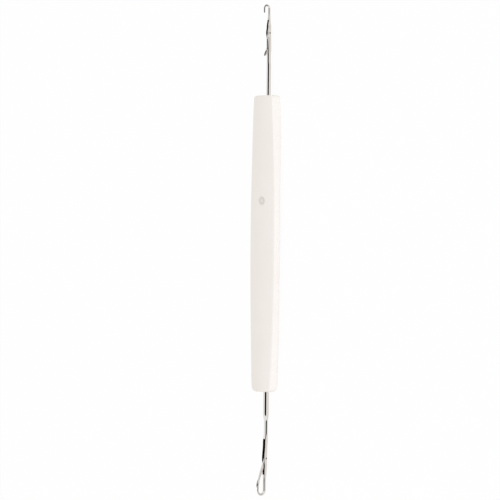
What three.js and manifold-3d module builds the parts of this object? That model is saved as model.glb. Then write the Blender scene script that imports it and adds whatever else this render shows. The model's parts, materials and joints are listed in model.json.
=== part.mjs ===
// Double-ended latch tool for a knitting machine.
// A flat moulded handle carries a latch needle at each end: a small one and a large one.
// Millimetres, +Z up. X runs along the tool towards the small needle, Y runs across it.
// The tool lies on the underside of its handle, both hooks open upwards, and the origin is on the
// surface under the middle of the whole length.

import * as THREE from "three";
import { mergeVertices } from "three/addons/utils/BufferGeometryUtils.js";
import Module from "manifold-3d";

const wasm = await Module();
wasm.setup();

// Handle

const handleLength = 99.5;
const handleSmallEndWidth = 8.6;
const handleMiddleWidth = 11.65;
const handleLargeEndWidth = 9.1;
const widestFromSmallEnd = 51;
const undersideDepth = 2.12; // middle plane down to the two pads that the handle rests on
const smallEndTopHeight = 2.08; // middle plane up to the long edges of the upper face
const largeEndTopHeight = 1.9;
const topCrown = 0.35; // how far the upper face swells between its long edges
const padLength = 8; // flat stretch of the underside at both ends of the handle
const undersideRamp = 28; // over which the underside climbs from a pad to the waist
const undersideWaist = 0.7;
const topRamp = 26; // over which the upper edges sink from an end to the waist
const topWaist = 0.34;
const smallEndCornerRadius = 1.1; // corners of the outline seen from above
const largeEndCornerRadius = 1.9;
const smallEndEdgeRadius = 0.5; // rounding of the four long edges
const largeEndEdgeRadius = 1.1;
const endFaceRadius = 0.5; // rounding where the wide faces meet the end faces
const gateDimpleDiameter = 3.1;
const gateDimpleDepth = 0.14;
const gateDimpleFromSmallEnd = 35.4;

// Fits

const tangClearance = 0.04; // between a tang and the plastic moulded round it
const tangEndClearance = 0.3;
const rivetClearance = 0.02; // rivet in its cheeks
const latchEyeClearance = 0.04; // latch eye on its rivet
const latchSideClearance = 0.1; // latch blade to each wall of the slot
const stopClearance = 0.05; // latch to the place where it comes to rest

// Small needle. Distances along the needle are measured back from the crown of the hook, and heights
// from the middle plane of the handle, upwards.

const smallNeedle = {
  name: "small",
  reach: 30.6, // crown of the hook to the end face of the handle
  tangLength: 15,
  tangSpadeLength: 4,
  tangSpadeWidth: 2.3,
  tangSpadeDepth: 1.1,
  shankDiameter: 1.5,
  shankHeight: -0.67,
  shankFront: 20.5,
  neckFront: 16.6,
  neckDepth: 1.42,
  neckWidth: 1.2,
  neckBelly: 0.03,
  neckRoundness: 0.9, // 1 is an ellipse, less is squarer
  cheekWidth: 1.34,
  cheekBelly: 0,
  cheekSwell: 0.42, // how far the belly rises at the rivet
  swellBehind: 0.2, // share of the slot's length over which it sinks again
  cheekDepth: 1.1,
  heelDepth: 0.15, // how much deeper the stem is at the rear end of the slot
  noseWidth: 0.96, // section at the front end of the slot
  noseDepth: 0.95,
  noseBelly: -0.06,
  slotRear: 15.3,
  slotFront: 5.1,
  slotBite: 0.1, // how far the slot breaks through the back of the stem
  rivetFromCrown: 9.55,
  rivetHeight: -0.45,
  rivetDiameter: 0.58,
  throatRear: 3.9,
  throatDiameter: 0.8,
  throatHeight: -0.6,
  hookSpan: 2.24, // wire centre to wire centre
  hookTipDiameter: 0.42,
  hookTipReach: 2.9, // crown to the end of the point
  hookTipLean: 0,
  latchThickness: 0.42,
  latchEyeRadius: 0.48,
  latchBladeDepth: 0.42,
  latchBladeLength: 6.05,
  latchBend: 8, // how much the blade turns along its length
  spoonLength: 2.2,
  spoonWidth: 0.95,
  spoonDepth: 0.42,
  spoonRim: 0.08, // rim of the hollow below the middle line of the blade
  spoonWall: 0.15,
  spoonTilt: 21,
  latchStartsOpen: true,
};

// Large needle, measured in the same way

const largeNeedle = {
  name: "large",
  reach: 34.9,
  tangLength: 15,
  tangSpadeLength: 4,
  tangSpadeWidth: 2.5,
  tangSpadeDepth: 1.3,
  shankDiameter: 1.88,
  shankHeight: -0.9,
  shankFront: 27.4,
  neckFront: 20.6,
  neckDepth: 0.96,
  neckWidth: 1.42,
  neckBelly: -0.62,
  neckRoundness: 0.7,
  cheekWidth: 1.42,
  cheekBelly: -0.12,
  cheekSwell: 0.36,
  swellBehind: 0.4,
  cheekDepth: 1.24,
  heelDepth: 0.26,
  noseWidth: 1.2,
  noseDepth: 1.14,
  noseBelly: -0.14,
  slotRear: 19.3,
  slotFront: 7.2,
  slotBite: 0.1,
  rivetFromCrown: 12.45,
  rivetHeight: -0.74,
  rivetDiameter: 0.62,
  throatRear: 5.6,
  throatDiameter: 1.02,
  throatHeight: -0.62,
  hookSpan: 3.08,
  hookTipDiameter: 0.5,
  hookTipReach: 3.9,
  hookTipLean: 6,
  latchThickness: 0.52,
  latchEyeRadius: 0.55,
  latchBladeDepth: 0.5,
  latchBladeLength: 7.7,
  latchBend: 7,
  spoonLength: 2.7,
  spoonWidth: 1.12,
  spoonDepth: 0.5,
  spoonRim: 0.08,
  spoonWall: 0.17,
  spoonTilt: 14,
  latchStartsOpen: false,
};

// Values worked out from the sizes above

const overallLength = smallNeedle.reach + handleLength + largeNeedle.reach;
const crownX = overallLength / 2; // both crowns lie this far from the origin
const smallEndX = crownX - smallNeedle.reach;
const largeEndX = largeNeedle.reach - crownX;
const middlePlane = undersideDepth;
const widestX = smallEndX - widestFromSmallEnd;

// Smoothness

const ringPoints = 20;
const cornerSteps = 4;
const crownSteps = 6;
const bladeSteps = 8;
const handleSteps = 44;
const endSteps = 5;
const stationSteps = 4;
const hookSteps = 18;
const roundSides = 28;
const spoonSides = 20;

const handlePlastic = new THREE.MeshStandardMaterial({
  color: 0xeeeae3,
  roughness: 0.38,
  metalness: 0,
});
const needleSteel = new THREE.MeshStandardMaterial({
  color: 0xc9c7c3,
  roughness: 0.18,
  metalness: 1,
});
const latchSteel = new THREE.MeshStandardMaterial({
  color: 0xbfbdb9,
  roughness: 0.24,
  metalness: 1,
});
const rivetSteel = new THREE.MeshStandardMaterial({
  color: 0x9a9894,
  roughness: 0.35,
  metalness: 1,
});

const radians = THREE.MathUtils.degToRad;
const mix = THREE.MathUtils.lerp;

// A closed skin over a row of rings, each with as many points, closed by a flat fan at both ends.
function loft(rings) {
  const count = rings[0].length;
  const points = rings.flat();
  const faces = [];
  for (let r = 0; r + 1 < rings.length; r++) {
    for (let k = 0; k < count; k++) {
      const next = (k + 1) % count;
      const a = r * count + k;
      const b = r * count + next;
      faces.push(a, b, b + count, a, b + count, a + count);
    }
  }
  for (const [ring, turned] of [[0, true], [rings.length - 1, false]]) {
    const centre = new THREE.Vector3();
    rings[ring].forEach((p) => centre.add(p));
    points.push(centre.divideScalar(count));
    const hub = points.length - 1;
    for (let k = 0; k < count; k++) {
      const here = ring * count + k;
      const next = ring * count + ((k + 1) % count);
      faces.push(hub, turned ? next : here, turned ? here : next);
    }
  }
  const geometry = new THREE.BufferGeometry().setFromPoints(points);
  geometry.setIndex(faces);
  return geometry;
}

// A geometry as a solid that can be joined and cut.
function solid(geometry) {
  let bare = geometry.clone();
  bare.deleteAttribute("normal");
  bare.deleteAttribute("uv");
  bare = mergeVertices(bare, 1e-5);
  return new wasm.Manifold(
    new wasm.Mesh({
      numProp: 3,
      vertProperties: new Float32Array(bare.attributes.position.array),
      triVerts: new Uint32Array(bare.index.array),
    }),
  );
}

// A solid back as a geometry with flat facets.
function geometryOf(shape) {
  const mesh = shape.getMesh();
  const geometry = new THREE.BufferGeometry();
  geometry.setAttribute("position", new THREE.BufferAttribute(mesh.vertProperties, 3));
  geometry.setIndex(new THREE.BufferAttribute(mesh.triVerts, 1));
  const faceted = geometry.toNonIndexed();
  faceted.computeVertexNormals();
  return faceted;
}

function namedMesh(name, geometry, material) {
  const mesh = new THREE.Mesh(geometry, material);
  mesh.name = name;
  return mesh;
}

// A round bar across the tool, centred on y = 0.
function crossBar(radius, length, x, z) {
  const bar = new THREE.CylinderGeometry(radius, radius, length, roundSides);
  return bar.translate(x, 0, z);
}

// Handle outline

function handleHalfWidth(x) {
  const towardsSmall = x > widestX;
  const endX = towardsSmall ? smallEndX : largeEndX;
  const endWidth = towardsSmall ? handleSmallEndWidth : handleLargeEndWidth;
  const along = (x - widestX) / (endX - widestX);
  return mix(handleMiddleWidth, endWidth, along * along) / 2;
}

function ease(t) {
  const s = THREE.MathUtils.clamp(t, 0, 1);
  return s * s * (3 - 2 * s);
}

// 0 near the ends, rising to 1 over the waist between them.
function waist(x, flat, ramp) {
  const fromSmallEnd = (smallEndX - flat - x) / ramp;
  const fromLargeEnd = (x - largeEndX - flat) / ramp;
  return ease(fromSmallEnd) * ease(fromLargeEnd);
}

function undersideZ(x) {
  return middlePlane - undersideDepth + undersideWaist * waist(x, padLength, undersideRamp);
}

// Height of the long edges of the upper face, before they are rounded.
function topEdgeZ(x) {
  const along = (x - largeEndX) / handleLength;
  const height = mix(largeEndTopHeight, smallEndTopHeight, along);
  return middlePlane + height - topWaist * waist(x, endFaceRadius, topRamp);
}

// How far a quarter-round of this radius has drawn in at this distance from the end face.
function drawnIn(radius, fromEnd) {
  if (fromEnd >= radius) return 0;
  const across = radius - fromEnd;
  return radius - Math.sqrt(Math.max(0, radius * radius - across * across));
}

// Round the section from the top, turning towards -Y, so that the skin faces outwards. The upper
// face swells by the crown between its two rounded edges.
function roundedSection(x, halfWidth, bottom, top, radius, crown) {
  const ring = [];
  const corners = [[-1, 1, 90], [-1, -1, 180], [1, -1, 270], [1, 1, 0]];
  for (const [side, level, from] of corners) {
    const centreZ = level > 0 ? top - radius : bottom + radius;
    for (let k = 0; k <= cornerSteps; k++) {
      const angle = radians(from + (90 * k) / cornerSteps);
      const y = side * (halfWidth - radius) + radius * Math.cos(angle);
      ring.push(new THREE.Vector3(x, y, centreZ + radius * Math.sin(angle)));
    }
  }
  for (let k = 1; k < crownSteps; k++) {
    const across = 1 - (2 * k) / crownSteps;
    const y = across * (halfWidth - radius);
    ring.push(new THREE.Vector3(x, y, top + crown * (1 - across * across)));
  }
  return ring;
}

function handleStations() {
  const longestRounding = Math.max(smallEndCornerRadius, largeEndCornerRadius, endFaceRadius);
  const stations = [];
  for (let k = 0; k <= endSteps; k++) {
    stations.push(largeEndX + longestRounding * (1 - Math.cos((Math.PI / 2) * (k / endSteps))));
  }
  const clear = handleLength - 2 * longestRounding;
  for (let k = 1; k < handleSteps; k++) {
    stations.push(largeEndX + longestRounding + (clear * k) / handleSteps);
  }
  for (let k = endSteps; k >= 0; k--) {
    stations.push(smallEndX - longestRounding * (1 - Math.cos((Math.PI / 2) * (k / endSteps))));
  }
  return stations;
}

function handleSection(x) {
  const fromLarge = x - largeEndX;
  const fromSmall = smallEndX - x;
  const sidesIn =
    drawnIn(largeEndCornerRadius, fromLarge) + drawnIn(smallEndCornerRadius, fromSmall);
  const facesIn = drawnIn(endFaceRadius, fromLarge) + drawnIn(endFaceRadius, fromSmall);
  const edge = mix(largeEndEdgeRadius, smallEndEdgeRadius, fromLarge / handleLength);
  const swell = topCrown * (1 - facesIn / endFaceRadius);
  return roundedSection(
    x,
    handleHalfWidth(x) - sidesIn,
    undersideZ(x) + facesIn,
    topEdgeZ(x) - facesIn,
    edge,
    swell,
  );
}

// Needle: one bar whose section changes along its length

// A section half as deep as depth and half as wide as width. A roundness of 1 gives an ellipse and
// smaller values square it off.
function barSection(centre, upward, depth, width, roundness) {
  const across = new THREE.Vector3(0, -1, 0);
  return Array.from({ length: ringPoints }, (_, k) => {
    const angle = (2 * Math.PI * k) / ringPoints;
    const c = Math.cos(angle);
    const s = Math.sin(angle);
    const rise = (depth / 2) * Math.sign(c) * Math.abs(c) ** roundness;
    const side = (width / 2) * Math.sign(s) * Math.abs(s) ** roundness;
    return centre.clone().addScaledVector(upward, rise).addScaledVector(across, side);
  });
}

function crownToX(distance) {
  return crownX - distance;
}

function tangStations(n, grow) {
  const end = n.reach + n.tangLength;
  const spade = { depth: n.tangSpadeDepth, width: n.tangSpadeWidth, roundness: 0.6 };
  const round = { depth: n.shankDiameter, width: n.shankDiameter, roundness: 1 };
  const rows = [
    { from: end + (grow > 0 ? tangEndClearance : 0), ...spade },
    { from: end - n.tangSpadeLength, ...spade },
    { from: end - 1.6 * n.tangSpadeLength, ...round },
    { from: n.reach - (grow > 0 ? tangEndClearance : 0), ...round },
  ];
  return rows.map((row) => ({
    ...row,
    height: n.shankHeight,
    depth: row.depth + 2 * grow,
    width: row.width + 2 * grow,
  }));
}

// The stem from the handle to the start of the hook, as a row of sections to pass through.
function stemStations(n) {
  const bar = (belly, depth, width, roundness) => {
    return { depth, width, height: belly - depth / 2, roundness };
  };
  const cheek = (rise, deeper = 0) => {
    return bar(n.cheekBelly + rise, n.cheekDepth + rise + deeper, n.cheekWidth, 0.62);
  };
  const neck = bar(n.neckBelly, n.neckDepth, n.neckWidth, n.neckRoundness);
  const shank = {
    depth: n.shankDiameter,
    width: n.shankDiameter,
    height: n.shankHeight,
    roundness: 1,
  };
  const slotLength = n.slotRear - n.slotFront;
  const behind = n.rivetFromCrown + n.swellBehind * slotLength;
  const before = n.rivetFromCrown - 0.2 * slotLength;
  return [
    { from: n.shankFront, ...shank },
    { from: mix(n.neckFront, n.shankFront, 0.55), ...neck },
    { from: n.neckFront, ...neck },
    { from: n.slotRear, ...cheek(0, n.heelDepth) },
    { from: behind, ...cheek(0, 0.4 * n.heelDepth) },
    { from: n.rivetFromCrown, ...cheek(n.cheekSwell) },
    { from: before, ...cheek(0.35 * n.cheekSwell) },
    { from: n.slotFront, ...bar(n.noseBelly, n.noseDepth, n.noseWidth, 0.75) },
    {
      from: n.throatRear,
      depth: n.throatDiameter,
      width: n.throatDiameter,
      height: n.throatHeight,
      roundness: 1,
    },
  ];
}

// Rings through a row of stations, easing from one to the next.
function ringsThrough(stations) {
  const up = new THREE.Vector3(0, 0, 1);
  const rings = [];
  stations.forEach((station, i) => {
    const before = stations[Math.max(0, i - 1)];
    const steps = i === 0 ? 1 : stationSteps;
    for (let k = 1; k <= steps; k++) {
      const t = i === 0 ? 1 : k / steps;
      const eased = ease(t);
      const height = middlePlane + mix(before.height, station.height, eased);
      const centre = new THREE.Vector3(crownToX(mix(before.from, station.from, t)), 0, height);
      rings.push(
        barSection(
          centre,
          up,
          mix(before.depth, station.depth, eased),
          mix(before.width, station.width, eased),
          mix(before.roundness, station.roundness, eased),
        ),
      );
    }
  });
  return rings;
}

// The hook: a half circle up from the throat, then a straight leg back to a rounded point.
function hookRings(n) {
  const radius = n.hookSpan / 2;
  const crownWire = mix(n.throatDiameter, n.hookTipDiameter, 0.5);
  const centreX = crownX - crownWire / 2 - radius;
  const centreZ = middlePlane + n.throatHeight + radius;
  const turn = 180 + n.hookTipLean;
  const rings = [];
  const place = (angle, past, wire) => {
    const upward = new THREE.Vector3(-Math.sin(angle), 0, Math.cos(angle));
    const centre = new THREE.Vector3(
      centreX + radius * Math.sin(angle) + past * Math.cos(angle),
      0,
      centreZ - radius * Math.cos(angle) + past * Math.sin(angle),
    );
    rings.push(barSection(centre, upward, wire, wire, 1));
  };
  for (let k = 0; k <= hookSteps; k++) {
    const t = k / hookSteps;
    place(radians(turn * t), 0, mix(n.throatDiameter, n.hookTipDiameter, t));
  }
  const leg = n.hookTipReach - crownWire / 2 - radius;
  const round = n.hookTipDiameter / 2;
  place(radians(turn), leg - round, n.hookTipDiameter);
  for (const degrees of [35, 60, 80]) {
    const angle = radians(degrees);
    place(radians(turn), leg - round + round * Math.sin(angle), 2 * round * Math.cos(angle));
  }
  return rings;
}

// The cutter for the slot: a thin round saw sunk into the belly from slotRear to slotFront, deep
// enough to break through the back of the stem by slotBite.
function slotCutter(n) {
  const halfChord = (n.slotRear - n.slotFront) / 2;
  const sunk = n.cheekDepth + n.slotBite;
  const radius = (halfChord * halfChord + sunk * sunk) / (2 * sunk);
  const centreX = crownToX((n.slotRear + n.slotFront) / 2);
  const centreZ = middlePlane + n.cheekBelly - sunk + radius;
  const saw = new THREE.CylinderGeometry(radius, radius, slotWidth(n), 6 * roundSides);
  return saw.translate(centreX, 0, centreZ);
}

function slotWidth(n) {
  return n.latchThickness + 2 * latchSideClearance;
}

function pivotOf(n) {
  return new THREE.Vector3(crownToX(n.rivetFromCrown), 0, middlePlane + n.rivetHeight);
}

function needleShape(n) {
  const pivot = pivotOf(n);
  const bore = crossBar(n.rivetDiameter / 2 + rivetClearance, 2 * n.cheekWidth, pivot.x, pivot.z);
  const rings = [...ringsThrough(tangStations(n, 0)), ...ringsThrough(stemStations(n)), ...hookRings(n)];
  return solid(loft(rings)).subtract(solid(slotCutter(n))).subtract(solid(bore));
}

// Rivet: a short pin peened to a low dome at both ends.
function rivetGeometry(n) {
  const radius = n.rivetDiameter / 2;
  const dome = 0.06;
  const half = n.cheekWidth / 2 + dome;
  const profile = [
    new THREE.Vector2(0, -half),
    new THREE.Vector2(0.7 * radius, -half + 0.4 * dome),
    new THREE.Vector2(radius, -half + dome),
    new THREE.Vector2(radius, half - dome),
    new THREE.Vector2(0.7 * radius, half - 0.4 * dome),
    new THREE.Vector2(0, half),
  ];
  return new THREE.LatheGeometry(profile, roundSides);
}

// Latch, drawn with its eye on the origin and the spoon's root on the X axis. The hollow of the
// spoon faces -Z, and the blade arches over to +Z between its two ends.
function latchShape(n) {
  const eye = solid(crossBar(n.latchEyeRadius, n.latchThickness, 0, 0));
  const bore = crossBar(n.rivetDiameter / 2 + latchEyeClearance, 2 * n.cheekWidth, 0, 0);
  return eye.add(solid(loft(bladeRings(n)))).add(spoonShape(n)).subtract(solid(bore));
}

// Height of the blade's middle line over the chord from the eye to the spoon's root.
function bladeArch(n, x) {
  return (radians(n.latchBend) / 2) * x * (1 - x / n.latchBladeLength);
}

function bladeRings(n) {
  return Array.from({ length: bladeSteps + 1 }, (_, k) => {
    const x = (n.latchBladeLength * k) / bladeSteps;
    const slope = (radians(n.latchBend) / 2) * (1 - (2 * x) / n.latchBladeLength);
    const upward = new THREE.Vector3(-Math.sin(slope), 0, Math.cos(slope));
    const centre = new THREE.Vector3(x, 0, bladeArch(n, x));
    return barSection(centre, upward, n.latchBladeDepth, n.latchThickness, 0.35);
  });
}

// Spoon: half an egg with its round back on the outer side, hollowed from the inner side.
function spoonShape(n) {
  const root = n.latchBladeDepth;
  const egg = (grow) =>
    new THREE.SphereGeometry(1, spoonSides, spoonSides / 2)
      .scale(n.spoonLength / 2 + grow, n.spoonWidth / 2 + grow, n.spoonDepth + grow)
      .translate(n.spoonLength / 2 - root / 2, 0, 0);
  const size = 2 * n.spoonLength;
  const below = new THREE.BoxGeometry(size, size, size).translate(0, 0, -size / 2 - n.spoonRim);
  const body = solid(egg(0)).subtract(solid(below)).subtract(solid(egg(-n.spoonWall)));
  const neck = solid(new THREE.BoxGeometry(root, 0.9 * n.latchThickness, 0.9 * root));
  const tilted = geometryOf(body.add(neck)).rotateY(radians(n.spoonTilt));
  return solid(tilted.translate(n.latchBladeLength, 0, 0));
}

// The closed latch stops when the lip of its spoon lies on the outside of the hook's point.
function closedAngle(n) {
  const pivot = pivotOf(n);
  const lean = radians(n.hookTipLean);
  const leg = (n.hookTipReach - n.hookTipDiameter - n.hookSpan / 2) * Math.sin(lean);
  const wireTop = middlePlane + n.throatHeight + n.hookSpan + n.hookTipDiameter / 2 - leg / 2;
  const tilt = radians(n.spoonTilt);
  const out = n.spoonLength - n.latchBladeDepth / 2;
  const x = n.latchBladeLength + out * Math.cos(tilt) - n.spoonRim * Math.sin(tilt);
  const z = -out * Math.sin(tilt) - n.spoonRim * Math.cos(tilt);
  return Math.asin((wireTop + stopClearance - pivot.z) / Math.hypot(x, z)) - Math.atan2(z, x);
}

// The open latch stops when the back of its blade lies on the rear end of the slot.
function openAngle(n) {
  const rise = n.cheekBelly + stopClearance - n.rivetHeight;
  const along = n.slotRear - n.rivetFromCrown;
  const reach = Math.hypot(along, rise);
  const back = n.latchBladeDepth / 2 + Math.max(0, bladeArch(n, along));
  return Math.PI - Math.atan2(rise, along) - Math.asin(back / reach);
}

function latchMesh(n) {
  const latch = namedMesh(n.name + "_latch", geometryOf(latchShape(n)), latchSteel);
  latch.position.copy(pivotOf(n));
  latch.rotation.y = -(n.latchStartsOpen ? openAngle(n) : closedAngle(n));
  return latch;
}

// A needle with its latch and rivet, pointing along +X.
function needleGroup(n) {
  const group = new THREE.Group();
  const rivet = namedMesh(n.name + "_latch_rivet", rivetGeometry(n), rivetSteel);
  rivet.position.copy(pivotOf(n));
  group.add(namedMesh(n.name + "_needle", geometryOf(needleShape(n)), needleSteel));
  group.add(latchMesh(n), rivet);
  return group;
}

// The pocket that a needle's tang fills, a clearance larger all round.
function tangPocket(n, turned) {
  const pocket = loft(ringsThrough(tangStations(n, tangClearance)));
  return solid(turned ? pocket.rotateZ(Math.PI) : pocket);
}

function gateDimple() {
  const x = smallEndX - gateDimpleFromSmallEnd;
  const radius = gateDimpleDiameter / 2;
  const cutter = new THREE.CylinderGeometry(radius, radius - gateDimpleDepth, 1, roundSides);
  cutter.rotateX(Math.PI / 2);
  cutter.translate(x, 0, topEdgeZ(x) + topCrown - gateDimpleDepth + 0.5);
  return solid(cutter);
}

function handleShape() {
  return solid(loft(handleStations().map(handleSection)))
    .subtract(tangPocket(smallNeedle, false))
    .subtract(tangPocket(largeNeedle, true))
    .subtract(gateDimple());
}

const tool = new THREE.Group();
tool.name = "double_ended_latch_tool";
tool.add(namedMesh("handle", geometryOf(handleShape()), handlePlastic));
tool.add(needleGroup(smallNeedle));
const largeEnd = needleGroup(largeNeedle);
largeEnd.rotation.z = Math.PI;
tool.add(largeEnd);

export default tool;
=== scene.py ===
# %% [markdown]
# # A double-ended latch tool, dressed for its portrait
#
# The tool is a flat, warm white plastic handle with a bright steel latch needle at each end. The
# frame brings the engineering solids: where each piece is, how big it is and what swings. This
# lesson puts a fine surface round each of them, gives each surface its finish, and lights it. Every
# shape is worked out with numpy as rows of rings, because all of these pieces are long things whose
# section changes along their length.

# %% Load the frame
import json
import math

import bmesh
import bpy
import numpy as np
from mathutils import Matrix, Vector


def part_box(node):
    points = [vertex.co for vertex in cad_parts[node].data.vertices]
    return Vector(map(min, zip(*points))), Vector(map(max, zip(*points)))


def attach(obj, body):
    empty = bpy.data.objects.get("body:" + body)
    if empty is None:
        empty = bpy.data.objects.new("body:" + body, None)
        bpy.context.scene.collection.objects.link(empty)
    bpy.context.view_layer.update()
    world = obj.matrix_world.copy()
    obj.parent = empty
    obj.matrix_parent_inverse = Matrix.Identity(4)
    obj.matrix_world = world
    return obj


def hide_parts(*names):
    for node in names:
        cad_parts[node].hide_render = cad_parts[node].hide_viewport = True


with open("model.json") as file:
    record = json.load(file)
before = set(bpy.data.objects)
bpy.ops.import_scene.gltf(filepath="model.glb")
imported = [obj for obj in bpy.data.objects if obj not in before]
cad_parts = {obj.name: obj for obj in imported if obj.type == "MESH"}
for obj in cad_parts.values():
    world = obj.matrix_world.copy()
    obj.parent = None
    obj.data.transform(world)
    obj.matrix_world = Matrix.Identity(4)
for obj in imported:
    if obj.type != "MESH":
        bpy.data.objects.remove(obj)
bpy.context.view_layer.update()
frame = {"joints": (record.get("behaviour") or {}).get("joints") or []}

MM = 0.001

# %% [markdown]
# The places that everything else hangs on are read from the frame, so that a change of the solids
# carries over: the ends of the handle, the crowns of the two hooks and the pins of the two latches.
# From here on all sizes are in millimetres, and the last step into a mesh makes them metres.

# %% Places read from the solids
handle_low, handle_high = (np.array(corner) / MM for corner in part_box("handle"))
SMALL_END_X = handle_high[0]
LARGE_END_X = handle_low[0]
MIDDLE_WIDTH = handle_high[1] - handle_low[1]
MIDDLE_PLANE = 2.12  # heights of the needles and of the handle's upper edges count from here
CROWN_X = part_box("small_needle")[1][0] / MM
HINGES = {joint["child"]: np.array(joint["pos_m"]) / MM for joint in frame["joints"]}
print("handle from", round(LARGE_END_X, 2), "to", round(SMALL_END_X, 2), "crowns at", CROWN_X)

# %% [markdown]
# The camera looks down on the wide face from 45 degrees round the tool's long axis, with the small
# needle at the top of the picture. A long lens keeps the tool from tapering. The tool leans a
# little and lies right of the middle, and both come from two points of the picture that the
# handle's middle line runs through.

# %% Camera
PICTURE = 500  # pixels along each side
TOOL_PIXELS = 491  # from crown to crown
MM_PER_PIXEL = 2 * CROWN_X / TOOL_PIXELS
MIDDLE_LINE_TOP = (267.05, 100)
MIDDLE_LINE_BOTTOM = (263.9, 400)
ROUND_THE_AXIS = math.radians(45)
DISTANCE = 900  # from the camera to the middle of the tool
SENSOR = 36


def aim_camera():
    """Turns the camera about its own line of sight by the lean of the middle line, and shifts it
    sideways by the pixels between that line and the centre of the picture."""
    run = MIDDLE_LINE_TOP[0] - MIDDLE_LINE_BOTTOM[0]
    rise = MIDDLE_LINE_BOTTOM[1] - MIDDLE_LINE_TOP[1]
    lean = math.atan2(run, rise)
    toward = Vector((0, -math.sin(ROUND_THE_AXIS), math.cos(ROUND_THE_AXIS)))
    along = Vector((1, 0, 0))
    across = along.cross(toward)
    up = along * math.cos(lean) - across * math.sin(lean)
    right = across * math.cos(lean) + along * math.sin(lean)
    aside = (MIDDLE_LINE_TOP[0] + MIDDLE_LINE_BOTTOM[0] - PICTURE) / 2 * MM_PER_PIXEL
    target = Vector((0, 0, MIDDLE_PLANE)) - right * aside
    data = bpy.data.cameras.new("camera")
    data.sensor_width = SENSOR
    data.lens = data.sensor_width * DISTANCE / (PICTURE * MM_PER_PIXEL)
    data.clip_start = 0.01
    data.clip_end = 20
    camera = bpy.data.objects.new("camera", data)
    bpy.context.scene.collection.objects.link(camera)
    turn = Matrix((right, up, toward)).transposed().to_4x4()
    camera.matrix_world = Matrix.Translation((target + toward * DISTANCE) * MM) @ turn
    bpy.context.scene.camera = camera
    return data


print("lens", round(aim_camera().lens, 1), "mm")

# %% [markdown]
# A shape here is a stack of rings. Each ring is one row of an array, so a whole piece is an array
# of shape (rings, points, 3). Joining ring to ring gives the skin, and a point in the middle of
# the first and last ring closes the ends. A box could be subdivided and pulled into shape instead,
# but rings keep the mesh in clean quads whose sizes are known, and these shade smoothly and catch
# long straight highlights as drawn wire does.

# %% From rings to a mesh


def skin(name, rings, crisp=35):
    """Joins ring r, point k to its neighbours r+1 and k+1 with quads, wrapping k, and closes both
    ends with a fan of triangles about the mean point of the last ring. Edges that turn by more
    than crisp degrees stay crisp."""
    rows, count, _ = rings.shape
    points = np.concatenate([rings.reshape(-1, 3), rings[:1].mean(1), rings[-1:].mean(1)]) * MM
    k = np.arange(count)
    n = (k + 1) % count
    r = np.arange(rows - 1)[:, None] * count
    quads = np.stack([r + k, r + n, r + count + n, r + count + k], -1).reshape(-1, 4)
    base = (rows - 1) * count
    near = np.stack([np.full(count, rows * count), n, k], -1)
    far = np.stack([np.full(count, rows * count + 1), base + k, base + n], -1)
    mesh = bpy.data.meshes.new(name)
    mesh.from_pydata(points.tolist(), [], quads.tolist() + near.tolist() + far.tolist())
    piece = bpy.data.objects.new(name, mesh)
    bpy.context.scene.collection.objects.link(piece)
    print(name, "is", rows, "rings of", count, "points")
    return shade(piece, crisp)


def shade(piece, crisp):
    """Smooth shading with crisp edges above an angle."""
    piece.data.shade_smooth()
    piece.data.set_sharp_from_angle(angle=math.radians(crisp))
    return piece


# %% [markdown]
# Slots and bores are cut out of a finished skin, as they are cut out of steel. The cutter is a
# round bar that lies across the tool. The cut could be drawn into the rings instead, but a curved
# slot crosses many of them at a slant, and the exact Boolean solver keeps its edges clean there.

# %% Cutting
WELD = 1e-8  # metres within which the points that a cut leaves are merged


def carve(piece, *cutters, crisp=35):
    """Cuts closed cutters out of a piece, keeps the result as its mesh and removes the cutters."""
    for cutter in cutters:
        cut = piece.modifiers.new("cut", "BOOLEAN")
        cut.operation = "DIFFERENCE"
        cut.solver = "EXACT"
        cut.object = cutter
    graph = bpy.context.evaluated_depsgraph_get()
    carved = bpy.data.meshes.new_from_object(piece.evaluated_get(graph))
    piece.modifiers.clear()
    piece.data = carved
    for cutter in cutters:
        bpy.data.objects.remove(cutter)
    work = bmesh.new()
    work.from_mesh(carved)
    bmesh.ops.remove_doubles(work, verts=work.verts, dist=WELD)
    work.to_mesh(carved)
    work.free()
    return shade(piece, crisp)


def cross_bar(name, radius, width, x, z, sides=96):
    """A round bar across the tool: the circle x + R cos a, z + R sin a at y = +-width/2."""
    a = np.linspace(0, 2 * np.pi, sides, endpoint=False)
    ring = np.stack([x + radius * np.cos(a), 0 * a, z + radius * np.sin(a)], -1)
    return skin(name, np.stack([ring + [0, width / 2, 0], ring - [0, width / 2, 0]]))


print("points that a cut leaves merge within", WELD / MM, "mm")

# %% [markdown]
# Two short functions carry most of the shapes. One blends two values. The other bends a share from
# 0 to 1 so that it leaves and arrives level, as metal does where it was rolled or forged. A spline
# through hand-set points could do the same, but would need a handle at every one of them.

# %% Blending


def ease(t):
    """The curve 3t^2 - 2t^3, which leaves and arrives level."""
    t = np.clip(t, 0, 1)
    return t * t * (3 - 2 * t)


def mix(a, b, t):
    """The value that lies the share t of the way from a to b: a + (b - a) t."""
    return a + (b - a) * t


print("eased quarters", ease(np.array([0.25, 0.5, 0.75])))

# %% [markdown]
# A latch needle starts as one bar of steel. Its shank is round, then it is flattened into a neck
# and two cheeks, and it tapers through the throat into the wire of the hook. The values below are
# for these places in turn, one set for each needle, in the words that a needle maker would use.
#
# Distances run back from the crown of the hook, and heights run up from the middle plane. The
# belly is the side that the hook opens to, and a value called belly is the height of that side.
# The heel is the extra depth where the cheeks begin, the swell is the rise of the belly at the
# rivet, and the nose is the section at the front end of the slot. The pins aren't typed in but
# read from the hinges of the frame, so the latches are sure to turn where the motion turns them.

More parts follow.
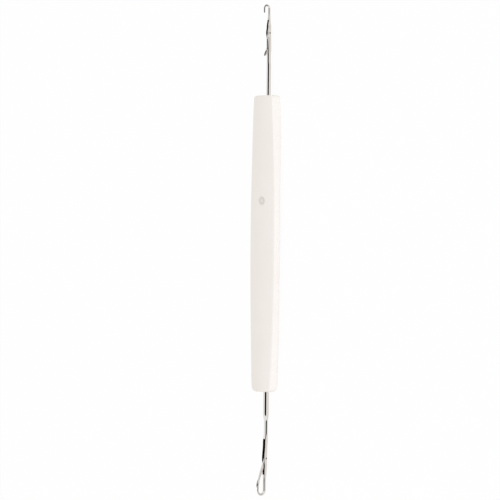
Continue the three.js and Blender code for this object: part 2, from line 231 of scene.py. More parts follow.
# %% Needle sizes
NEEDLES = {
    "small": {
        "reach": 30.6, "tang": 15, "spade": 4, "spade width": 2.3, "spade depth": 1.1,
        "shank": 1.5, "shank height": -0.67, "shank front": 20.5,
        "neck front": 16.6, "neck depth": 1.5, "neck width": 1.3, "neck belly": 0.12,
        "neck roundness": 1, "cheek roundness": 0.38, "cheek width": 1.34, "cheek belly": 0,
        "cheek depth": 1.1, "cheek rear": 15.3, "cheek swell": 0.42, "swell behind": 0.2,
        "heel": 0.15, "nose width": 0.96, "nose depth": 0.95, "nose belly": -0.06,
        "slot rear": 15.3, "slot front": 5.1, "slot bite": 0.1, "rivet size": 0.58,
        "throat rear": 2.9, "throat": 0.8, "throat height": -0.6,
        "hook span": 2.24, "tip": 0.42, "tip reach": 2.9, "tip lean": 0,
        "latch": 0.42, "eye": 0.48, "blade depth": 0.42, "inner": 0.12, "blade": 5.65, "bend": 8,
        "spoon": 2.75, "spoon width": 1.0, "spoon depth": 0.46, "spoon rim": 0.08,
        "spoon wall": 0.15, "tilt": 20, "turn in": 1.1, "dark from": 0.02,
    },
    "large": {
        "reach": 34.9, "tang": 15, "spade": 4, "spade width": 2.5, "spade depth": 1.3,
        "shank": 1.88, "shank height": -1.0, "shank front": 27.4,
        "neck front": 21.3, "neck depth": 1.0, "neck width": 1.55, "neck belly": -0.57,
        "neck roundness": 1, "cheek roundness": 0.62, "cheek width": 1.42, "cheek belly": -0.12,
        "cheek depth": 1.24, "cheek rear": 17.9, "cheek swell": 0.36, "swell behind": 0.4,
        "heel": 0.26, "nose width": 1.2, "nose depth": 1.26, "nose belly": -0.02,
        "slot rear": 19.3, "slot front": 7.2, "slot bite": 0.1, "rivet size": 0.62,
        "throat rear": 5.6, "throat": 1.02, "throat height": -0.62,
        "hook span": 3.08, "tip": 0.5, "tip reach": 3.9, "tip lean": 6,
        "latch": 0.52, "eye": 0.55, "blade depth": 0.5, "inner": 0.5, "blade": 7.6, "bend": 7,
        "spoon": 3.0, "spoon width": 0.98, "spoon depth": 0.46, "spoon rim": 0.08,
        "spoon wall": 0.17, "tilt": 7, "turn in": 0.35, "dark from": -0.2,
    },
}
RIVET_GAP = 0.02  # from the rivet to its bore in the cheeks
EYE_GAP = 0.04  # from the rivet to the eye of the latch
SIDE_GAP = 0.15  # from the latch to each side of the slot
STOP_GAP = 0.05  # from the latch to what it comes to rest on
TANG_GAP = 0.04  # from the tang to the plastic round it
TANG_END_GAP = 0.3
for end, n in NEEDLES.items():
    hinge_x, _, hinge_z = HINGES[end + "_latch"]
    n["rivet"] = round(CROWN_X - abs(hinge_x), 3)
    n["rivet height"] = round(hinge_z - MIDDLE_PLANE, 3)
    print(end, "needle: reach", n["reach"], "rivet at", n["rivet"], "hook across", n["hook span"])

# %% [markdown]
# The section of a needle changes from a disc to a rounded block and back. A Curve with a bevel
# carries one section along a path and can only scale it on the way. So the bar is a row of
# stations, each with its height, depth, width and roundness, and the rings ease from one to the
# next. The roundness is a power on the sine and cosine of an ellipse, and less than 1 squares the
# section off.

# %% Sections


def bar_sections(centre, up, depth, width, roundness, points=64):
    """One ring per row. Round the ring by the angle a from up: rise = depth/2 cos a and side =
    width/2 sin a, each raised to the roundness with its sign kept, so that 1 is an ellipse and
    less squares it off."""
    a = np.linspace(0, 2 * np.pi, points, endpoint=False)
    c, s = np.cos(a), np.sin(a)
    power = np.asarray(roundness, float)[:, None]
    rise = np.asarray(depth, float)[:, None] / 2 * np.sign(c) * np.abs(c) ** power
    side = np.asarray(width, float)[:, None] / 2 * np.sign(s) * np.abs(s) ** power
    return centre[:, None] + rise[..., None] * up[:, None] - side[..., None] * np.array([0, 1, 0])


def through(stations, steps):
    """Rows through the stations (from, height, depth, width, roundness): the first goes evenly,
    the others by the ease curve, so the bar has no kink at a station."""
    rows = np.array(stations, float)
    t = np.arange(1, steps + 1)[:, None] / steps
    table = mix(rows[:-1, None], rows[1:, None], ease(t))
    table[..., 0] = mix(rows[:-1, None, 0], rows[1:, None, 0], t[:, 0])
    return np.concatenate([rows[:1], table.reshape(-1, rows.shape[1])])


print("halfway from thin to thick", through([(10, 0, 1, 1, 1), (8, 0, 2, 2, 1)], 2)[1])

# %% [markdown]
# The rows of stations come next. Inside the handle the needle ends in a flattened spade, the tang,
# which keeps it from pulling out. Outside it runs from the shank through the neck and the cheeks to
# the throat. The rows of the tang also take a gap, because the pocket in the handle is made from
# them too, so the two can't drift apart.

# %% Stations of a needle
SPADE_TAPER = 1.6  # lengths of the spade from the end of the tang to its full shank
STATION_STEPS = 14


def tang_stations(n, gap=0.0):
    """The part inside the handle: a flattened spade that keeps the needle from pulling out."""
    end = n["reach"] + n["tang"]
    height = n["shank height"]
    spade = (height, n["spade depth"] + 2 * gap, n["spade width"] + 2 * gap, 0.6)
    shank = (height, n["shank"] + 2 * gap, n["shank"] + 2 * gap, 1)
    rear = end + (TANG_END_GAP if gap else 0)
    taper = end - SPADE_TAPER * n["spade"]
    return [(rear, *spade), (end - n["spade"], *spade), (taper, *shank)]


def stem_stations(n):
    """From the handle to the throat: shank, neck, cheeks with a swell round the rivet, nose and
    throat. A bar is given by the height of its belly, so its middle lies half its depth below."""

    def bar(belly, depth, width, roundness):
        return (belly - depth / 2, depth, width, roundness)

    def cheek(rise, deeper=0.0):
        depth = n["cheek depth"] + rise + deeper
        return bar(n["cheek belly"] + rise, depth, n["cheek width"], n["cheek roundness"])

    shank = (n["shank height"], n["shank"], n["shank"], 1)
    neck = bar(n["neck belly"], n["neck depth"], n["neck width"], n["neck roundness"])
    length = n["slot rear"] - n["slot front"]
    return [
        (n["shank front"], *shank),
        (mix(n["neck front"], n["shank front"], 0.55), *neck),
        (n["neck front"], *neck),
        (n["cheek rear"], *cheek(0, n["heel"])),
        (n["rivet"] + n["swell behind"] * length, *cheek(0, 0.4 * n["heel"])),
        (n["rivet"], *cheek(n["cheek swell"])),
        (n["rivet"] - 0.2 * length, *cheek(0.35 * n["cheek swell"])),
        (n["slot front"], *bar(n["nose belly"], n["nose depth"], n["nose width"], 0.75)),
        (n["throat rear"], n["throat height"], n["throat"], n["throat"], 1),
    ]


def stem_rings(table, points=64):
    """Upright rings at each row of a table of stations."""
    place, height, depth, width, roundness = table.T
    centre = np.stack([CROWN_X - place, 0 * place, MIDDLE_PLANE + height], -1)
    up = np.tile([0.0, 0.0, 1.0], (len(place), 1))
    return bar_sections(centre, up, depth, width, roundness, points)


print("stations", {end: len(tang_stations(n) + stem_stations(n)) for end, n in NEEDLES.items()})

# %% [markdown]
# The hook carries the same ring round half a circle and back along a short straight leg. Its wire
# thins evenly from the throat to the tip, and the point ends in a half ball, so that yarn slips
# over it. Bending a straight bar with a modifier would stretch the wire where the bend is tight.

# %% Hook


def hook_centre(n):
    """The middle of the half circle that the wire of the hook goes round."""
    crown_wire = (n["throat"] + n["tip"]) / 2
    radius = n["hook span"] / 2
    return CROWN_X - crown_wire / 2 - radius, MIDDLE_PLANE + n["throat height"] + radius, radius


def hook_rings(n, points=64):
    """Round the arc by the angle a: x = centre + R sin a, z = centre - R cos a, the wire thinning
    evenly from throat to tip, then straight back, and a half ball to end the point."""
    cx, cz, radius = hook_centre(n)
    turn = math.radians(180 + n["tip lean"])
    t = np.linspace(0, 1, 73)
    quarters = np.array([0.25, 0.5, 0.75, 1])
    leg = n["tip reach"] - (n["throat"] + n["tip"]) / 4 - radius - n["tip"] / 2
    ball = np.radians(np.array([12, 24, 36, 48, 60, 70, 79, 86]))
    angle = np.concatenate([turn * t, np.full(len(quarters) + len(ball), turn)])
    past = np.concatenate([0 * t, leg * quarters, leg + n["tip"] / 2 * np.sin(ball)])
    thinning = mix(n["throat"], n["tip"], t)
    wire = np.concatenate([thinning, np.full(len(quarters), n["tip"]), n["tip"] * np.cos(ball)])
    x = cx + radius * np.sin(angle) + past * np.cos(angle)
    z = cz - radius * np.cos(angle) + past * np.sin(angle)
    centre = np.stack([x, 0 * x, z], -1)
    up = np.stack([-np.sin(angle), 0 * angle, np.cos(angle)], -1)
    return bar_sections(centre, up, wire, wire, np.ones(len(wire)), points)


for end, n in NEEDLES.items():
    print(end, "hook: middle of the arc and its radius", [round(v, 2) for v in hook_centre(n)])

# %% [markdown]
# The slot that the latch folds into is cut with a thin round saw, as the real one is. Its floor is
# an arc that just breaks through the back of the stem between its two ends. The bore for the rivet
# goes across both cheeks. A slot with square ends would be quicker to draw, but the arc is what
# makes the black line in the side of a latch needle start and end in a point.

# %% Slot, bore and needle
BORE_LENGTH = 4


def saw(n):
    """Radius and middle of the round saw whose edge passes through both ends of the slot at the
    belly and, between them, just through the back: R = (half chord^2 + sunk^2) / (2 sunk)."""
    half = (n["slot rear"] - n["slot front"]) / 2
    sunk = n["cheek depth"] + n["slot bite"]
    radius = (half**2 + sunk**2) / (2 * sunk)
    x = CROWN_X - (n["slot rear"] + n["slot front"]) / 2
    return radius, x, MIDDLE_PLANE + n["cheek belly"] - sunk + radius


def pivot(n):
    """The x and z of the rivet."""
    return CROWN_X - n["rivet"], MIDDLE_PLANE + n["rivet height"]


def bore(n, gap):
    """The cutter for a hole round the rivet, wider than it by the gap all round."""
    return cross_bar("drill", n["rivet size"] / 2 + gap, BORE_LENGTH, *pivot(n), sides=48)


def needle(end):
    """The bar from tang to point, with the slot and the bore for the rivet cut out of it."""
    n = NEEDLES[end]
    bar = through(tang_stations(n) + stem_stations(n), STATION_STEPS)
    rings = np.concatenate([stem_rings(bar), hook_rings(n)])
    radius, x, z = saw(n)
    blade = cross_bar("saw", radius, n["latch"] + 2 * SIDE_GAP, x, z, sides=480)
    piece = carve(skin(end + "_needle_steel", rings), blade, bore(n, RIVET_GAP), crisp=40)
    print(piece.name, len(piece.data.polygons), "faces")
    return piece


print("saws", {end: round(saw(n)[0], 1) for end, n in NEEDLES.items()}, "mm in radius")

# %% [markdown]
# The latch is a thin blade with an eye at one end, which turns on the rivet, and a spoon at the
# other, whose hollow closes over the point of the hook. It is drawn lying along X with its eye on
# the origin and the hollow facing down. Its section is one closed line: over the back in an arc,
# and home along the underside, which is flat under the blade and sinks into a bowl under the spoon.
# A sphere cut in half would leave a sharp step where blade meets spoon. One line whose values ease
# along the latch gives the forged look of the real one.

# %% Sections of the latch


def latch_stations(n):
    """Distances along the latch from its pin, close together over the eye and over the tip, where
    the outline closes fastest."""
    eye, half, start = n["eye"], n["blade depth"] / 2, n["blade"]
    end = start - half + n["spoon"]
    head = -eye * np.cos(np.linspace(0.12, np.pi / 2, 12))
    neck = np.linspace(0, 2.4 * eye, 14)[1:]
    blade = np.linspace(2.4 * eye, start - 3 * half, 20)[1:]
    swell = np.linspace(start - 3 * half, end - 0.35 * n["spoon"], 34)[1:]
    tip = end - 0.35 * n["spoon"] * (1 - np.sin(np.linspace(0, 1.5, 18)))
    return np.concatenate([head, neck, blade, swell, tip[1:]])


def latch_outline(n, s):
    """Half width, back and underside at s. The eye is a disc, sqrt(eye^2 - s^2), that eases into
    the blade. The spoon is an egg, sqrt(1 - e^2) with e from -1 to 1 along it. The underside keeps
    the eye's depth near the pin, eases to the depth called inner, and comes back to half the
    blade's depth before it becomes the rim of the spoon."""
    eye, half = n["eye"], n["blade depth"] / 2
    spoon_start = n["blade"] - half
    disc = np.sqrt(np.maximum(eye**2 - s**2, 0))
    depth = np.where(s < 0, disc, mix(eye, half, ease(s / (2.0 * eye))))
    egg = np.clip((s - spoon_start - n["spoon"] / 2) / (n["spoon"] / 2), -1, 1)
    round_in = np.where(s > spoon_start, np.sqrt(np.maximum(1 - egg**2, 0)), 0)
    width = np.maximum(n["latch"] / 2, n["spoon width"] / 2 * round_in)
    width = np.where(egg > 0, n["spoon width"] / 2 * round_in, width)
    top = np.maximum(depth, n["spoon depth"] * round_in)
    top = np.where(egg > 0, n["spoon depth"] * round_in, top)
    inner = mix(np.where(s < 0, disc, eye), n["inner"], ease((s - 2.6 * eye) / (2.5 * eye)))
    inner = mix(inner, half, ease((s / n["blade"] - 0.55) / 0.4))
    rim = np.minimum(n["spoon rim"], 0.9 * top)
    return width, top, -mix(inner, rim, ease((s - spoon_start) / (2 * half)))


def latch_rings(n, points=28):
    """Along the latch by s. The back is y = w sin a, z = top cos a to a small power, for a between
    the two rims. The underside is z = rim + bowl (1 - |y/w|^3), with bowl 0 under the blade."""
    half, start = n["blade depth"] / 2, n["blade"]
    end = start - half + n["spoon"]
    s = latch_stations(n)
    width, top, rim = latch_outline(n, s)
    power = mix(0.3, 1.0, ease((s - start + 2 * half) / (3 * half)))
    bowl_in = ease((s - start) / (0.22 * n["spoon"])) * ease((end - s) / (0.2 * n["spoon"]))
    wall = n["spoon wall"]
    bowl = np.maximum(top - wall - rim, 0) * bowl_in
    a = np.linspace(-1, 1, points) * np.pi / 2
    back_y = width[:, None] * np.sign(a) * np.abs(np.sin(a)) ** power[:, None]
    back_z = top[:, None] * np.cos(a) ** power[:, None]
    b = np.linspace(1, -1, points)
    under_y = (width - 0.45 * wall * bowl_in)[:, None] * b
    under_z = rim[:, None] + bowl[:, None] * (1 - np.abs(b) ** 3)
    lip_y = width[:, None] * np.array([1, 1])
    lip_z = rim[:, None] * np.array([0.45, 0.85])
    y = np.concatenate([-back_y, -lip_y, -under_y, lip_y], 1)
    z = np.concatenate([back_z, lip_z, under_z, lip_z[:, ::-1]], 1)
    return s, y, z


for end, n in NEEDLES.items():
    width, top, _ = latch_outline(n, latch_stations(n))
    print(end, "latch: up to", round(2 * width.max(), 2), "wide, back up to", round(top.max(), 2))

# %% [markdown]
# A latch isn't straight. Its blade is slightly arched, and its spoon tilts down towards the hook.
# A Simple Deform modifier bends a whole piece by one angle. Here the slope is a function of the
# distance from the pin, and adding up its steps gives the line that the rings stand on.

# %% Bend of the latch
TURN_OVER = 0.7  # length over which the slope of the blade becomes that of the spoon


def blade_arch(n, x):
    """The middle line of the blade over the chord from eye to spoon: bend/2 x (1 - x/blade)."""
    return math.radians(n["bend"]) / 2 * x * (1 - x / n["blade"])


def bent(n, s, y, z):
    """Stands each ring on the middle line: along the arch of the blade, which turns down evenly
    by the bend, and then down the slope of the spoon's tilt. The one slope eases into the other
    from the distance called turn in before the end of the blade."""
    x = np.clip(s, 0, n["blade"])
    slope = math.radians(n["bend"]) / 2 * (1 - 2 * x / n["blade"])
    into = ease((s - n["blade"] + n["turn in"]) / TURN_OVER)
    slope = mix(slope, -math.radians(n["tilt"]), into)
    step = np.diff(s, prepend=0)
    line_x = np.cumsum(step * np.cos(slope))
    line_z = np.cumsum(step * np.sin(slope))
    past_blade = int(np.searchsorted(s, n["blade"]))
    line_z = line_z - line_z[past_blade] * x / n["blade"]
    slope, line_x, line_z = slope[:, None], line_x[:, None], line_z[:, None]
    return np.stack([line_x - z * np.sin(slope), y, line_z + z * np.cos(slope)], -1)


for end, n in NEEDLES.items():
    print(end, "blade: arched by", round(float(blade_arch(n, n["blade"] / 2)), 2), "mm")

# %% [markdown]
# The photograph shows the small latch open and the large one closed, so they rest like that. The
# angle isn't chosen by eye. It follows from what the latch comes to lie on, with a small gap left,
# and the solids are laid by the same rule.

# %% Latch at rest


def rest_angle(end):
    """The small latch lies open against the rear end of its slot. The large one lies closed, the
    rim of its spoon on the outside of the point of the hook."""
    n = NEEDLES[end]
    half = n["blade depth"] / 2
    if end == "small":
        rise = n["cheek belly"] + STOP_GAP - n["rivet height"]
        along = n["slot rear"] - n["rivet"]
        reach = math.hypot(along, rise)
        back = half + max(0, blade_arch(n, along))
        return math.pi - math.atan2(rise, along) - math.asin(back / reach)
    leg = (n["tip reach"] - n["tip"] - n["hook span"] / 2) * math.sin(math.radians(n["tip lean"]))
    lift = n["throat height"] + n["hook span"] + n["tip"] / 2 - leg / 2 + STOP_GAP
    tilt, rim = math.radians(n["tilt"]), n["spoon rim"]
    out = n["spoon"] - half
    x = n["blade"] + out * math.cos(tilt) - rim * math.sin(tilt)
    z = -out * math.sin(tilt) - rim * math.cos(tilt)
    return math.asin((lift - n["rivet height"]) / math.hypot(x, z)) - math.atan2(z, x)


def latch(end):
    """The latch turned up by its rest angle about the rivet, with its eye bored."""
    n = NEEDLES[end]
    rings = bent(n, *latch_rings(n))
    a = rest_angle(end)
    x = rings[..., 0] * math.cos(a) - rings[..., 2] * math.sin(a)
    z = rings[..., 0] * math.sin(a) + rings[..., 2] * math.cos(a)
    px, pz = pivot(n)
    rings = np.stack([px + x, rings[..., 1], pz + z], -1)
    piece = carve(skin(end + "_latch_steel", rings), bore(n, EYE_GAP), crisp=50)
    print(piece.name, "rests at", round(math.degrees(a), 1), "degrees")
    return piece


print("rest angles", {end: round(math.degrees(rest_angle(end)), 1) for end in NEEDLES})

# %% [markdown]
# Each rivet is a short pin whose ends are peened into low domes. A profile turned about the pin's
# own line gives it: the radius runs from nothing over the dome, along the pin and back to nothing.

# %% Rivet
RIVET_DOME = 0.06


def rivet(end):
    """Rings across the tool at y, with the radius r: over the dome r = R sin a, y = half + dome
    cos a, and straight along the pin between the two domes."""
    n = NEEDLES[end]
    radius, half = n["rivet size"] / 2, n["cheek width"] / 2
    a = np.linspace(0.08, np.pi / 2, 10)
    r = radius * np.concatenate([np.sin(a), np.sin(a)[::-1]])
    y = np.concatenate([half + RIVET_DOME * np.cos(a), -(half + RIVET_DOME * np.cos(a))[::-1]])
    around = np.linspace(0, 2 * np.pi, 48, endpoint=False)
    px, pz = pivot(n)
    x = px + r[:, None] * np.cos(around)
    z = pz + r[:, None] * np.sin(around)
    return skin(end + "_rivet_steel", np.stack([x, np.broadcast_to(y[:, None], x.shape), z], -1))


print("rivets", {end: round(n["cheek width"] + 2 * RIVET_DOME, 2) for end, n in NEEDLES.items()})

# %% [markdown]
# The handle is a barrel seen from above, widest in the middle, and a waist seen from the side,
# thinnest in the middle. Its long edges are rounded, more so towards the large needle, and so are
# the corners of its outline. At each end the skin turns in over the end face and follows the tang
# into the handle, because the real handle is moulded round the steel. A subdivided box could give
# this shape, but then the radii would have to be found by eye. Written as a formula they are the
# ones of the mould.

# %% Handle sizes
HANDLE_LENGTH = SMALL_END_X - LARGE_END_X
END_WIDTH = {"small": 8.6, "large": 9.1}
WIDEST_X = SMALL_END_X - 51
TOP_EDGE = {"small": 2.08, "large": 1.9}  # heights of the upper edges at the two ends
TOP_CROWN = 0.45  # swell of the upper face between its edges
PAD = 8  # flat stretch at each end that the handle rests on, at height 0
UNDERSIDE_RAMP = 28  # length over which the underside climbs from a pad
UNDERSIDE_WAIST = 0.7
TOP_RAMP = 26  # length over which the upper edges sink from an end
TOP_WAIST = 0.24
CORNER = {"small": 1.1, "large": 1.9}  # rounding of the outline seen from above
EDGE = {"small": 0.5, "large": 1.1}  # rounding of the four long edges
END_FACE_ROUND = 0.5  # rounding where the wide faces meet the end faces
DIMPLE_X = SMALL_END_X - 35.4
DIMPLE_RADIUS = 1.55
DIMPLE_DEPTH = 0.14
DIMPLE_WALL = 0.15
BUTTON_RADIUS = 0.35  # flat top of the button in the middle of the dimple
BUTTON_SLOPE = 0.5
BUTTON_RISE = 0.6  # share of the depth that the button comes up again
print("handle", round(HANDLE_LENGTH, 2), "long,", round(MIDDLE_WIDTH, 2), "wide in the middle")

# %% [markdown]
# Every section of the handle is the same rounded rectangle in other sizes, so it is laid out once
# in unit form and scaled ring by ring. Bevelling a box would round each edge by one radius all
# along, but these radii change from end to end.

# %% Section of the handle


def ring_template(corner, wide, narrow):
    """The section as a rounded rectangle in unit form: for each point its place on the inner
    rectangle, from -1 to 1 both ways, and the direction in which the corner radius is added."""
    place, normal = [], []
    corners = [(-1, 1, 90), (-1, -1, 180), (1, -1, 270), (1, 1, 0)]
    for i, (y, z, start) in enumerate(corners):
        angle = np.radians(np.linspace(start, start + 90, corner + 1))
        place.append(np.tile([y, z], (corner + 1, 1)).astype(float))
        normal.append(np.stack([np.cos(angle), np.sin(angle)], -1))
        steps = narrow if i % 2 == 0 else wide
        t = np.linspace(0, 1, steps + 1)[1:-1, None]
        place.append(mix(np.array([y, z]), np.array(corners[(i + 1) % 4][:2]), t))
        normal.append(np.tile(normal[-1][-1], (steps - 1, 1)))
    return np.concatenate(place), np.concatenate(normal)


def drawn_in(radius, from_end):
    """How far a quarter round has drawn in at a distance from the end: R - sqrt(R^2 - (R-d)^2)."""
    across = np.clip(radius - from_end, 0, radius)
    return radius - np.sqrt(np.maximum(radius**2 - across**2, 0))


print("a quarter round of 1 mm has drawn in", round(float(drawn_in(1, 0.5)), 2), "mm halfway")

# %% [markdown]
# Two curves give the handle its form: how wide it is, seen from above, and how its underside and
# its upper edges run, seen from the side. The width is a parabola each way from the widest place.
# The heights ease into a waist, which makes the middle thin between the fingers.

# %% Widths and heights of the handle


def half_width(x):
    """Half the width: a parabola each way from the widest place."""
    ahead = (x - WIDEST_X) / (SMALL_END_X - WIDEST_X)
    behind = (x - WIDEST_X) / (LARGE_END_X - WIDEST_X)
    width = mix(MIDDLE_WIDTH, END_WIDTH["small"], ahead**2)
    return np.where(x > WIDEST_X, width, mix(MIDDLE_WIDTH, END_WIDTH["large"], behind**2)) / 2


def waist(x, flat, ramp):
    """Eases from 0 near both ends of the handle to 1 between them."""
    return ease((SMALL_END_X - flat - x) / ramp) * ease((x - LARGE_END_X - flat) / ramp)


def under_and_over(x):
    """Heights of the underside and of the long upper edges, both drawn in by their waists."""
    top = mix(TOP_EDGE["large"], TOP_EDGE["small"], (x - LARGE_END_X) / HANDLE_LENGTH)
    bottom = UNDERSIDE_WAIST * waist(x, PAD, UNDERSIDE_RAMP)
    return bottom, MIDDLE_PLANE + top - TOP_WAIST * waist(x, END_FACE_ROUND, TOP_RAMP)


middle = under_and_over(np.array([WIDEST_X]))
print("handle at its widest place: underside and upper edge at", np.round(middle, 2).ravel())

# %% [markdown]
# The rings of the body put these together, with the upper face swelling a little between its
# edges. The round mark on it looks like the place where the mould was fed. It is pressed in by
# lowering the points under it, which keeps the skin in one piece, where a Boolean cut would break
# its quads.

# %% Body of the handle and its mark


def body_rings(x, place, normal):
    """One rounded rectangle at each x, drawn in near the ends, its upper face crowned by
    crown (1 - t^2), where t runs from -1 to 1 between the two rounded edges."""
    far, near = x - LARGE_END_X, SMALL_END_X - x
    half = half_width(x) - drawn_in(CORNER["large"], far) - drawn_in(CORNER["small"], near)
    faces_in = drawn_in(END_FACE_ROUND, far) + drawn_in(END_FACE_ROUND, near)
    bottom, top = under_and_over(x)
    bottom, top = (bottom + faces_in)[:, None], (top - faces_in)[:, None]
    edge = mix(EDGE["large"], EDGE["small"], far / HANDLE_LENGTH)[:, None]
    y = place[:, 0] * (half[:, None] - edge) + normal[:, 0] * edge
    z = mix(bottom + edge, top - edge, (place[:, 1] + 1) / 2) + normal[:, 1] * edge
    swell = TOP_CROWN * (1 - faces_in / END_FACE_ROUND)[:, None]
    crown = swell * (1 - place[:, 0] ** 2) * (place[:, 1] + 1) / 2
    return np.stack([np.broadcast_to(x[:, None], y.shape), y, z + crown], -1)


def with_dimple(rings):
    """Sinks a shallow round mark into the upper face: down an eased wall at the rim, along the
    floor of a ring, and part of the way up again to a soft button in the middle."""
    x, y, z = rings[..., 0], rings[..., 1], rings[..., 2]
    away = np.hypot(x - DIMPLE_X, y)
    wall = 1 - ease((away - DIMPLE_RADIUS + DIMPLE_WALL) / DIMPLE_WALL)
    button = 1 - ease((away - BUTTON_RADIUS) / BUTTON_SLOPE)
    sunk = DIMPLE_DEPTH * wall * (1 - BUTTON_RISE * button)
    depth = np.where(z > MIDDLE_PLANE, sunk, 0)
    return np.stack([x, y, z - depth], -1)


print("mark at", round(DIMPLE_X, 1), "mm,", 2 * DIMPLE_RADIUS, "across and", DIMPLE_DEPTH, "deep")

# %% [markdown]
# The handle is moulded round the steel, so its skin turns in at each end over a small lip and
# follows the tang to its rear end. That makes one closed surface with a real pocket at each end. A
# flat end face with the needle pushed through it would look the same from afar, but the two
# meshes would cross, and the dark line between steel and plastic would be missing.

# %% Handle skin
LIP = 0.12
DIMPLE_SPAN = 2  # half length of the stretch with close rings


def handle_stations():
    """Distances along the handle, close together over the rounded ends and the dimple."""
    turn = np.linspace(0, np.pi / 2, 17)
    ends = max(*CORNER.values(), END_FACE_ROUND) * (1 - np.cos(turn))
    inner = np.linspace(LARGE_END_X + ends[-1], SMALL_END_X - ends[-1], 180)
    clear = inner[1:-1][np.abs(inner[1:-1] - DIMPLE_X) > DIMPLE_SPAN + 0.1]
    near = DIMPLE_X + np.linspace(-DIMPLE_SPAN, DIMPLE_SPAN, 41)
    return np.sort(np.concatenate([LARGE_END_X + ends, clear, near, SMALL_END_X - ends]))


def pocket_rings(edge, end, points_in):
    """From the last ring of the body over the end face to a small lip round the shank, and on
    along the tang to its rear end. In polar form a bar section in the direction (dy, dz) has the
    radius (|2dy/width|^(2/p) + |2dz/depth|^(2/p))^(-p/2), p being its roundness."""
    n = NEEDLES[end]
    face = edge[0, 0]
    centre = np.array([face, 0, MIDDLE_PLANE + n["shank height"]])
    direction = (edge - centre) * [0, 1, 1]
    direction /= np.linalg.norm(direction, axis=1)[:, None]
    hole = n["shank"] / 2 + TANG_GAP
    rim = centre + direction * (hole + LIP)
    rows = [mix(edge, rim, t) for t in (0.2, 0.45, 0.7, 0.88, 1)]
    for a in np.radians([22, 45, 68, 90]):
        inward = np.array([points_in * LIP * (1 - math.cos(a)), 0, 0])
        rows.append(centre + direction * (hole + LIP * (1 - math.sin(a))) + inward)
    for place, _, depth, width, p in through(tang_stations(n, TANG_GAP)[::-1], 6):
        terms = np.abs(2 * direction[:, 1] / width) ** (2 / p)
        terms = terms + np.abs(2 * direction[:, 2] / depth) ** (2 / p)
        x = face + points_in * (place - n["reach"])
        rows.append(centre * [0, 1, 1] + [x, 0, 0] + direction * (terms ** (-p / 2))[:, None])
    return np.array(rows)


def handle():
    """The pocket of the large needle, the body, and the pocket of the small needle."""
    place, normal = ring_template(corner=12, wide=84, narrow=12)
    body = with_dimple(body_rings(handle_stations(), place, normal))
    large = pocket_rings(body[0], "large", 1)
    small = pocket_rings(body[-1], "small", -1)
    piece = skin("handle_skin", np.concatenate([large[::-1], body, small]), crisp=60)
    print(piece.name, len(piece.data.polygons), "faces")
    return piece


# %% [markdown]
# Now the pieces are made. The large needle is drawn like the small one and turned half round the
# upright line through the origin. Each new piece stands for its solid, which stays for the motion,
# and rides on the body that the solid belongs to, so the latches swing with their hinges.

# %% Make the pieces and put them on their bodies


def settle(piece, node, body, turned=False):
    """Turns a piece of the large needle half round, then hides its solid and ties it to its body.
    """
    if turned:
        piece.data.transform(Matrix.Rotation(math.pi, 4, "Z"))
    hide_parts(node)
    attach(piece, body)
    return piece


HANDLE = settle(handle(), "handle", "root")
STEEL = {}
for end in NEEDLES:
    large = end == "large"
    STEEL[end] = {
        "needle": settle(needle(end), end + "_needle", "root", large),
        "latch": settle(latch(end), end + "_latch", end + "_latch", large),
        "rivet": settle(rivet(end), end + "_latch_rivet", "root", large),
    }
print("pieces", [piece.name for group in STEEL.values() for piece in group.values()])

# %% [markdown]
# ## Finishes
#
# The tool has two finishes, plastic and steel, and neither is one flat colour. What varies over
# them comes from two effects, each a node group that is built once and placed in every material
# with its own values. Both read Object coordinates, so a pattern stays on its piece when the piece
# moves. The groups put out values only, and each material decides what they do. A few helpers
# keep the node trees short.

# %% Node helpers


def colour(red, green, blue):
    """An sRGB colour of 0 to 255 as the linear values that Blender computes with."""
    c = np.array([red, green, blue]) / 255
    return (*np.where(c <= 0.04045, c / 12.92, ((c + 0.055) / 1.055) ** 2.4), 1)


def node(tree, kind, **settings):
    """Adds a node, and sets its inputs by name and its own settings by attribute."""
    made = tree.nodes.new(kind)
    for name, value in settings.pop("inputs", {}).items():
        made.inputs[name].default_value = value
    for name, value in settings.items():
        setattr(made, name, value)
    return made


def new_group(name, inputs, outputs):
    """An empty group with float inputs, given as (name, default), and float outputs."""
    tree = bpy.data.node_groups.new(name, "ShaderNodeTree")
    tree.interface.new_socket("Vector", in_out="INPUT", socket_type="NodeSocketVector")
    for socket, default in inputs:
        made = tree.interface.new_socket(socket, in_out="INPUT", socket_type="NodeSocketFloat")
        made.default_value = default
    for socket in outputs:
        tree.interface.new_socket(socket, in_out="OUTPUT", socket_type="NodeSocketFloat")
    return tree, tree.nodes.new("NodeGroupInput"), tree.nodes.new("NodeGroupOutput")


print("a middle grey is", round(float(colour(128, 128, 128)[0]), 3), "in linear light")

# %% [markdown]
# The soft mottle is the slow drift of tone and gloss that any moulded or polished surface has. An
# image could hold it, but noise has no seams and no smallest dot. It is drawn towards its middle by
# a contrast, so that a material can ask for much or little of it.

# %% Soft mottle


def soft_mottle():
    """Noise from 0 to 1 round a middle of 0.5, drawn towards that middle by 1 - Contrast."""
    tree, given, out = new_group("soft_mottle", [("Scale", 200), ("Contrast", 1)], ["Value"])
    noise = node(tree, "ShaderNodeTexNoise", inputs={"Detail": 3, "Roughness": 0.55})
    away = node(tree, "ShaderNodeMath", operation="SUBTRACT", inputs={1: 0.5})
    scaled = node(tree, "ShaderNodeMath", operation="MULTIPLY_ADD", inputs={2: 0.5})
    scaled.use_clamp = True
    tree.links.new(given.outputs["Vector"], noise.inputs["Vector"])
    tree.links.new(given.outputs["Scale"], noise.inputs["Scale"])
    tree.links.new(noise.outputs[0], away.inputs[0])
    tree.links.new(away.outputs[0], scaled.inputs[0])
    tree.links.new(given.outputs["Contrast"], scaled.inputs[1])
    tree.links.new(scaled.outputs[0], out.inputs["Value"])
    return tree


MOTTLE = soft_mottle()
print("node group", MOTTLE.name, "with", len(MOTTLE.nodes), "nodes")

